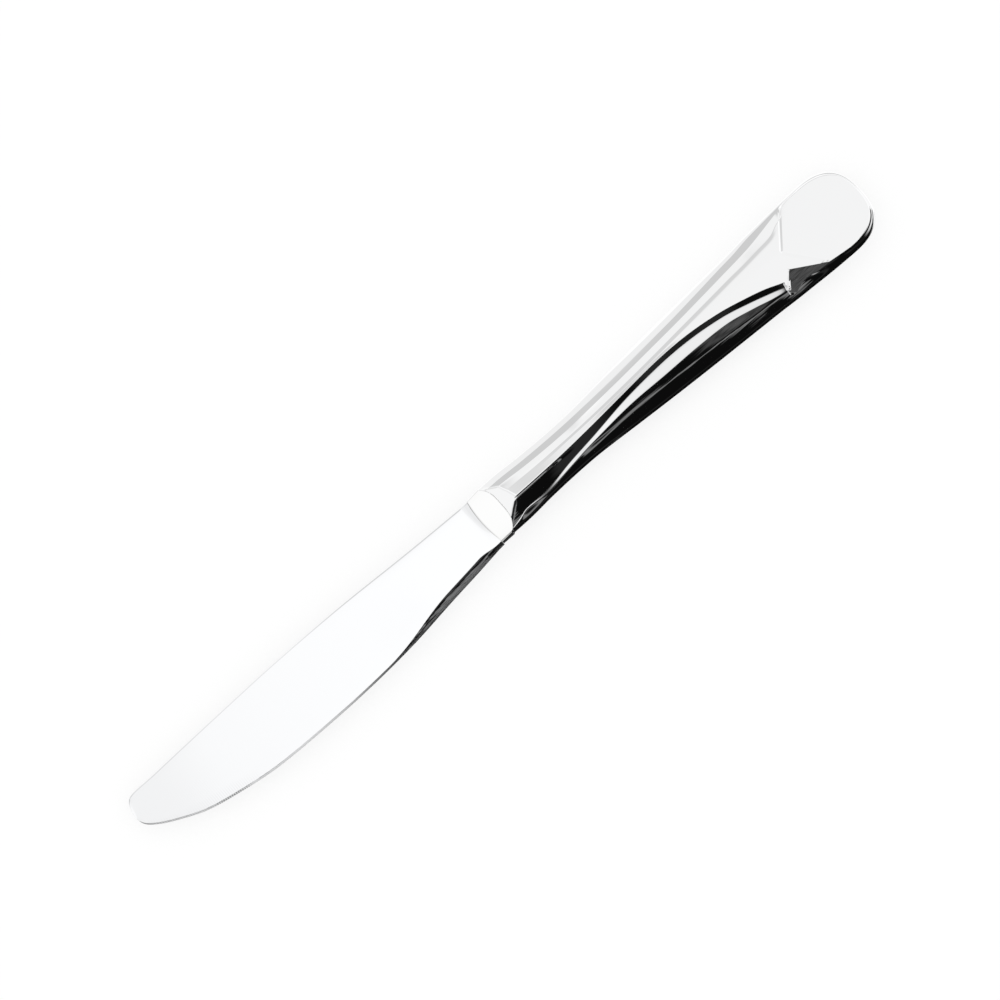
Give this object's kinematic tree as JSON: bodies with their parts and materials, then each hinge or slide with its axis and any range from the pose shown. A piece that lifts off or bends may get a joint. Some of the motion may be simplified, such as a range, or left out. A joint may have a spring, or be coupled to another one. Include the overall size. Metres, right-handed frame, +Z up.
{
  "type": "table knife",
  "caption": "Table knife with a round-nosed blade, a short bolster and a hollow flared handle with a swept ridge and a flat pad at the butt.",
  "frame": {"origin": "under the middle of the knife's box, on the plane that it lies on", "axes": "+X from the blade's tip to the handle's butt, +Y from the cutting edge to the spine, +Z up out of the knife's front face"},
  "size_m": [0.2219, 0.0221, 0.009],
  "materials": {
    "blade_steel": "polished",
    "bolster_steel": "polished",
    "handle_steel": "polished",
    "brazing_alloy": "satin",
    "cement": "matte"
  },
  "bodies": {
    "root": {"blade": "blade_steel", "bolster": "bolster_steel", "front_handle_shell": "handle_steel", "back_handle_shell": "handle_steel", "seam_braze": "brazing_alloy", "handle_cement": "cement"}
  },
  "joints": []
}
